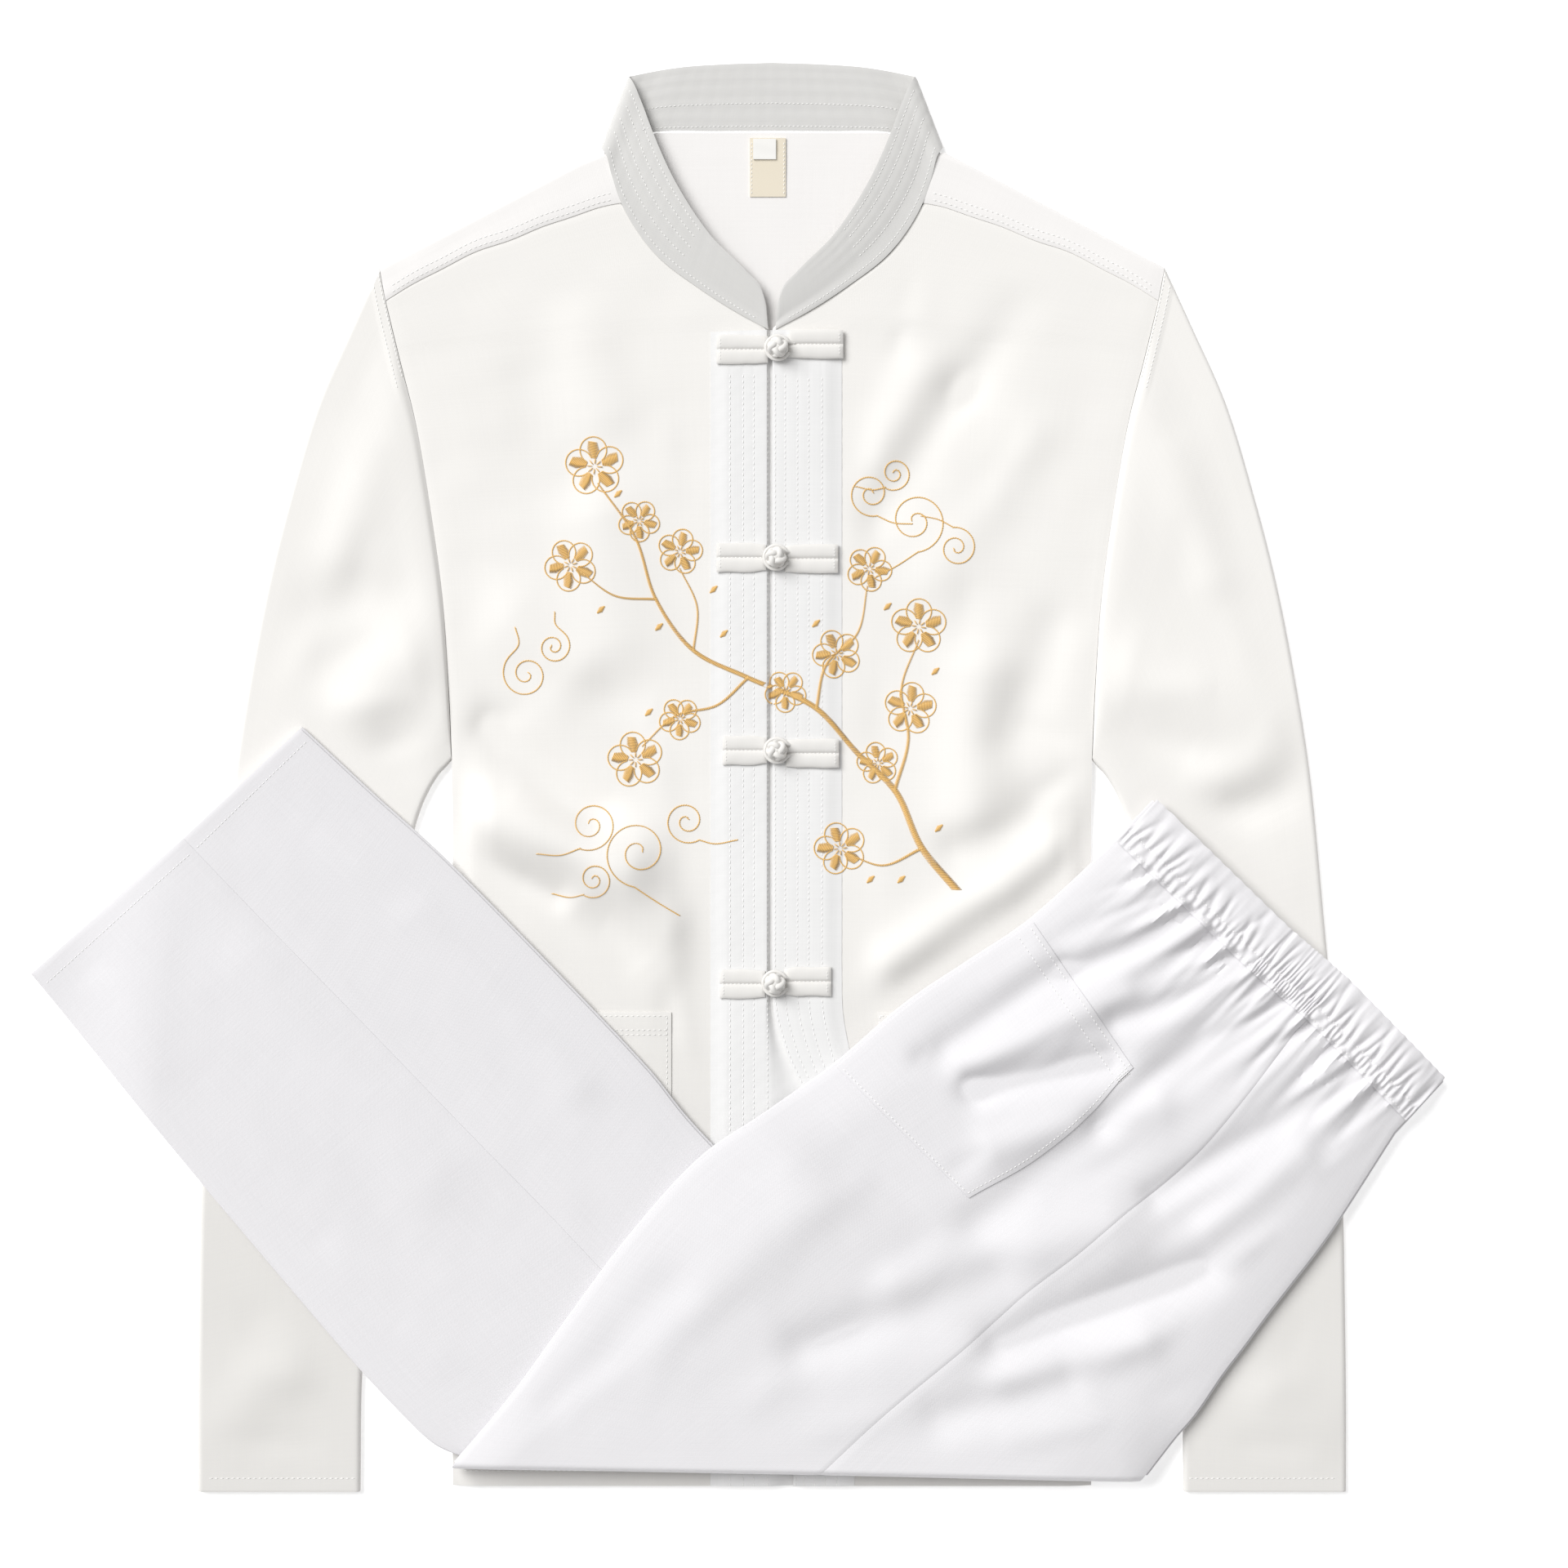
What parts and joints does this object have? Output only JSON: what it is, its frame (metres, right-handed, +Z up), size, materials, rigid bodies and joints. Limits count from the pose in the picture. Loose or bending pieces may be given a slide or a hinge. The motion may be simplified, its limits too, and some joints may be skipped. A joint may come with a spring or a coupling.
{
  "type": "tang suit",
  "caption": "Stand-collar jacket with knotted frog fastenings and elastic-waist trousers, laid flat together, the folded trousers across the jacket.",
  "frame": {"origin": "centre of the footprint, on the surface that the suit rests on", "axes": "+Z up out of the jacket front, +Y from hem to collar, +X towards the wearer's left sleeve"},
  "size_m": [0.8293, 0.839, 0.0271],
  "materials": {
    "jacket_linen": "warm ivory cotton-linen plain weave with slubs, matt",
    "trim_linen": "cool white cotton-linen plain weave, doubled and topstitched, matt",
    "trouser_linen": "cool white cotton-linen plain weave, softly creased, matt",
    "label_weave": "smooth cream woven tape with a slight sheen",
    "gold_thread": "gold rayon embroidery thread with a satin sheen",
    "sewing_thread": "off-white sewing thread"
  },
  "bodies": {
    "root": {"back": "jacket_linen", "shoulder_right": "jacket_linen", "shoulder_left": "jacket_linen", "front_right": "jacket_linen", "front_left": "jacket_linen", "placket_right": "trim_linen", "placket_left": "trim_linen", "pocket_right": "jacket_linen", "pocket_left": "jacket_linen", "sleeve_right": "jacket_linen", "sleeve_left": "jacket_linen", "collar": "trim_linen", "neck_label": "label_weave", "size_tag": "label_weave", "frog_1_knot_leg": "trim_linen", "frog_1_loop_leg": "trim_linen", "frog_1_knot": "trim_linen", "frog_2_knot_leg": "trim_linen", "frog_2_loop_leg": "trim_linen", "frog_2_knot": "trim_linen", "frog_3_knot_leg": "trim_linen", "frog_3_loop_leg": "trim_linen", "frog_3_knot": "trim_linen", "frog_4_knot_leg": "trim_linen", "frog_4_loop_leg": "trim_linen", "frog_4_knot": "trim_linen", "shin_layers": "trouser_linen", "right_leg_front": "trouser_linen", "right_leg_back": "trouser_linen", "thigh_layers": "trouser_linen", "left_leg_front": "trouser_linen", "left_leg_back": "trouser_linen", "side_pocket": "trouser_linen", "trouser_waistband": "trouser_linen"}
  },
  "joints": []
}
